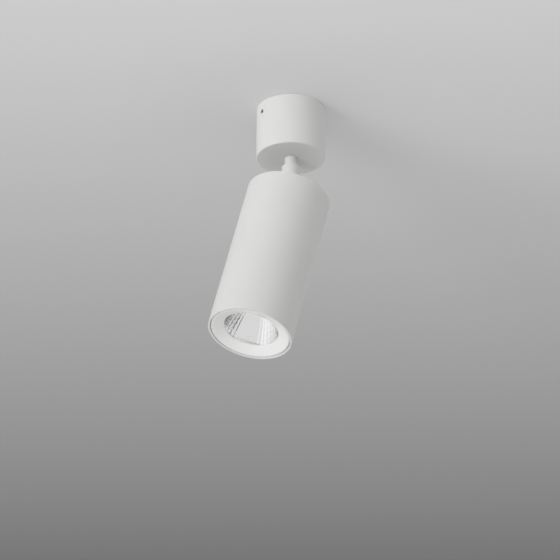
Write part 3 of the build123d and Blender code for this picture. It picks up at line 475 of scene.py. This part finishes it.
def facet_spot(radius, spot, swell=0.0):
    """A point on the many-sided ring, moved inwards by its part of a facet's swell."""
    column, wide = spot // cells, spot % cells / cells
    first, last = (2 * math.pi * (column + end) / facet_count for end in (0, 1))
    inwards = 4 * swell * wide * (1 - wide)
    middle = (first + last) / 2
    return (radius * (math.cos(first) * (1 - wide) + math.cos(last) * wide) - inwards * math.cos(middle),
            radius * (math.sin(first) * (1 - wide) + math.sin(last) * wide) - inwards * math.sin(middle))


steps = [row / facet_rows for row in range(facet_rows + 1)]
shares = [step * (1 + row_crowding * (1 - step)) for step in steps]
levels = []
for step in range(facet_rows * cells + 1):
    row = min(step // cells, facet_rows - 1)
    high = step / cells - row
    radius = bowl_radius(shares[row]) * (1 - high) + bowl_radius(shares[row + 1]) * high
    share = shares[row] * (1 - high) + shares[row + 1] * high
    levels.append((radius, flange_level + share * bowl_height, 4 * pillow * high * (1 - high)))
collar_radius = base_radius + 2 * reflector_wall
behind = [share for share in reversed(shares) if bowl_radius(share) + reflector_wall > collar_radius][:-1]
levels += [(collar_radius, bowl_base, 0), (collar_radius, bowl_base - reflector_wall, 0)]
levels += [(bowl_radius(share) + reflector_wall, flange_level + share * bowl_height, 0) for share in behind]
levels += [(mouth_radius + reflector_wall, flange_level + flange_thickness, 0),
           (flange_radius, flange_level + flange_thickness, 0), (flange_radius, flange_level, 0)]
spots = []
for radius, level, swell in levels:
    spots += [(x / 1000, y / 1000, level / 1000)
              for x, y in (facet_spot(radius, spot, swell) for spot in range(turns))]
faces = [(ring * turns + spot, ring * turns + (spot + 1) % turns,
          (ring + 1) % len(levels) * turns + (spot + 1) % turns, (ring + 1) % len(levels) * turns + spot)
         for ring in range(len(levels)) for spot in range(turns)]
bowl_mesh = bpy.data.meshes.new("reflector_bowl")
bowl_mesh.from_pydata(spots, [], faces)
bowl_mesh.flip_normals()
bowl = finish_piece("reflector_bowl", bowl_mesh, mirror, "spot_head", ["reflector"],
                    head_frame)
for edge in bowl.data.edges:
    (ring, spot), (next_ring, next_spot) = (divmod(vertex, turns) for vertex in edge.vertices)
    inside = max(ring, next_ring) <= facet_rows * cells
    if inside and (ring == next_ring and ring % cells == 0 or spot == next_spot and spot % cells == 0):
        edge.use_edge_sharp = True

# ---------------------------------------------------------------------------
# Trim ring: a white moulded cone from the rim to the reflector. The rubber ring in the
# groove round its skirt holds it in the tube.
# ---------------------------------------------------------------------------
trim_face, trim_radius, trim_edge, lip_round = -181.2, 40.05, 1.9, 1.3
cone_base, ledge_radius = -176.2, 30.1
cone_back_at_ledge, cone_back_at_skirt = -175.66, -179.07
skirt_inside, skirt_end = 38.25, -169.2
groove_top, groove_bottom, groove_floor = -171.2, -172.8, 39.0

trim_white_and_painted_light, start = new_finish("trim_white_with_painted_light", Specular_IOR_Level=0.5)
skin = noise(local_place(start, turned=True), scale=3200.0)
drift = noise(local_place(start, turned=True), scale=30.0, detail=2.0)
# Painted light in part: the trim's white is lighter than the coat on the other white parts, to stand in for
# the strong light that falls into the mouth.
drift.tint((0.94, 0.94, 0.93), (0.97, 0.97, 0.96)).into("ShaderNodeBsdfPrincipled", "Base Color")
(0.26 + skin * 0.12).into("ShaderNodeBsdfPrincipled", "Roughness")
relief(skin, depth=0.00001)

trim_mesh = lathe("trim_cone", outline(
    (trim_radius, trim_face, lip_round), (trim_radius - trim_edge, trim_face, 0.5),
    (mouth_radius, cone_base, 0.3), (mouth_radius, flange_level), (ledge_radius, flange_level),
    (ledge_radius, cone_back_at_ledge), (skirt_inside, cone_back_at_skirt), (skirt_inside, skirt_end),
    (trim_radius, skirt_end), (trim_radius, groove_top), (groove_floor, groove_top),
    (groove_floor, groove_bottom), (trim_radius, groove_bottom)), turns=384)
finish_piece("trim_cone", trim_mesh, trim_white_and_painted_light, "spot_head", ["trim_ring"], head_frame)
dress(elastomer, "grip_ring")
